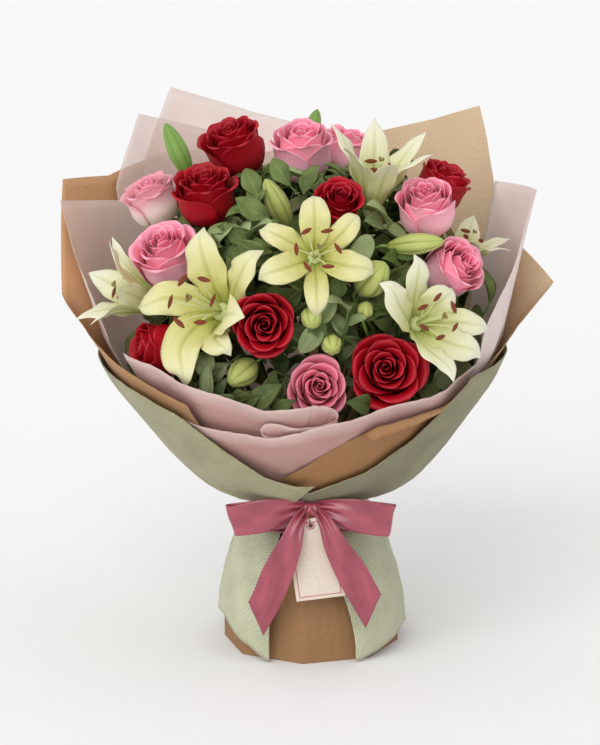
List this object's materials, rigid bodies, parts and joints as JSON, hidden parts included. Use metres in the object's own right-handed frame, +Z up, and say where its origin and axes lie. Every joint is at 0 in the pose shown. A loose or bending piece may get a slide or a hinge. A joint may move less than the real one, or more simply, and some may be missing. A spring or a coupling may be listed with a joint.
{
  "type": "mixed flower bouquet",
  "caption": "Hand-tied bouquet of red and pink roses, pale lilies and greens in paper and tissue, standing on a flared wrapped foot with a ribbon bow and a plain tag.",
  "frame": {"origin": "on the floor, in the middle of the flat underside of the kraft paper foot", "axes": "+Z up, -Y towards the front, where the bow and the lowest side of the wrap are, +X to the right as seen from the front"},
  "size_m": [0.475, 0.3899, 0.5208],
  "materials": {
    "red_petal": "soft satin petal",
    "pink_petal": "soft satin petal",
    "lily_petal": "waxy satin petal",
    "rose_stem": "green stem and leaf",
    "lily_stem": "pale green stem and bud",
    "leaf": "matt grey-green leaf",
    "kraft": "matt brown wrapping paper",
    "tissue": "thin dusty pink tissue",
    "jute": "coarse woven cloth",
    "ribbon": "satin ribbon",
    "card": "matt cream card",
    "string": "twisted string"
  },
  "bodies": {
    "root": {"binding_twine": "string", "eucalyptus_front": "leaf", "eucalyptus_low_left": "leaf", "eucalyptus_upper_left": "leaf", "greens_back": "leaf", "greens_right": "leaf", "hang_tag": "card", "jute_wrap": "jute", "kraft_foot": "kraft", "kraft_sheet_left": "kraft", "kraft_sheet_right": "kraft", "lily_centre": "lily_petal", "lily_centre_stem": "lily_stem", "lily_far_left": "lily_petal", "lily_far_left_stem": "lily_stem", "lily_far_right": "lily_petal", "lily_far_right_stem": "lily_stem", "lily_left": "lily_petal", "lily_left_stem": "lily_stem", "lily_low_right": "lily_petal", "lily_low_right_stem": "lily_stem", "lily_top_right": "lily_petal", "lily_top_right_stem": "lily_stem", "ribbon_band": "ribbon", "ribbon_bow": "ribbon", "rose_pink_behind": "pink_petal", "rose_pink_behind_stem": "rose_stem", "rose_pink_far_left": "pink_petal", "rose_pink_far_left_stem": "rose_stem", "rose_pink_front": "pink_petal", "rose_pink_front_stem": "rose_stem", "rose_pink_left": "pink_petal", "rose_pink_left_stem": "rose_stem", "rose_pink_right": "pink_petal", "rose_pink_right_stem": "rose_stem", "rose_pink_top": "pink_petal", "rose_pink_top_stem": "rose_stem", "rose_pink_upper_right": "pink_petal", "rose_pink_upper_right_stem": "rose_stem", "rose_red_centre_back": "red_petal", "rose_red_centre_back_stem": "rose_stem", "rose_red_far_right": "red_petal", "rose_red_far_right_stem": "rose_stem", "rose_red_front": "red_petal", "rose_red_front_right": "red_petal", "rose_red_front_right_stem": "rose_stem", "rose_red_front_stem": "rose_stem", "rose_red_low_left": "red_petal", "rose_red_low_left_stem": "rose_stem", "rose_red_top": "red_petal", "rose_red_top_stem": "rose_stem", "rose_red_upper_left": "red_petal", "rose_red_upper_left_stem": "rose_stem", "tag_string": "string", "tissue_back_inner": "tissue", "tissue_back_outer": "tissue", "tissue_front_left": "tissue", "tissue_front_right": "tissue", "tissue_left": "tissue", "tissue_right": "tissue"}
  },
  "joints": []
}
